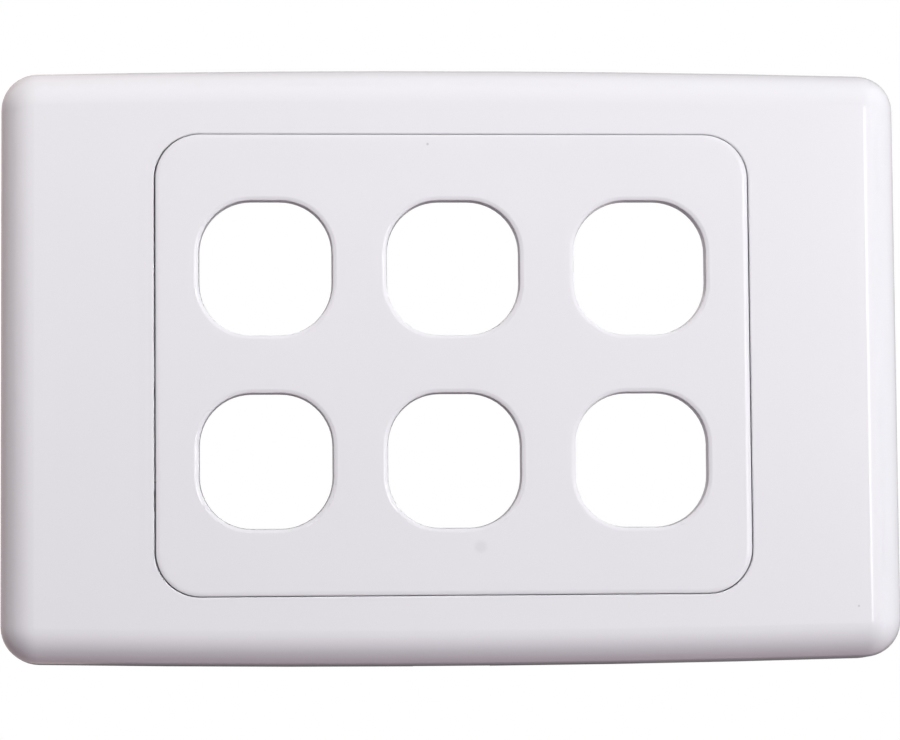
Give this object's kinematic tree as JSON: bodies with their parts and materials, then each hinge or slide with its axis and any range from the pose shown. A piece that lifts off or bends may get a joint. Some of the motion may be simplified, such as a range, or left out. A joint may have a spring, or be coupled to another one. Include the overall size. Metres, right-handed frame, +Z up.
{
  "type": "switch wall plate",
  "caption": "Landscape wall plate for switch mechanisms: a moulded grid with rounded-square apertures in a raised panel, and a clip-on cover with rolled edges that hides the fixing slots.",
  "frame": {"origin": "centre of the plate's back plane, where the flange lies on the wall", "axes": "+X right along the wall, +Z up the wall, +Y into the wall; the front faces -Y"},
  "size_m": [0.116, 0.0107, 0.0772],
  "materials": {
    "grid_plastic": "moulded, semi-gloss",
    "cover_plastic": "moulded, semi-gloss"
  },
  "bodies": {
    "grid": {"grid_plate": "grid_plastic"},
    "cover": {"cover_plate": "cover_plastic"}
  },
  "joints": [
    {"name": "cover_pull_off", "type": "slide", "parent": "grid", "child": "cover", "axis": [0, -1, 0], "range_m": [0, 0.03]}
  ]
}
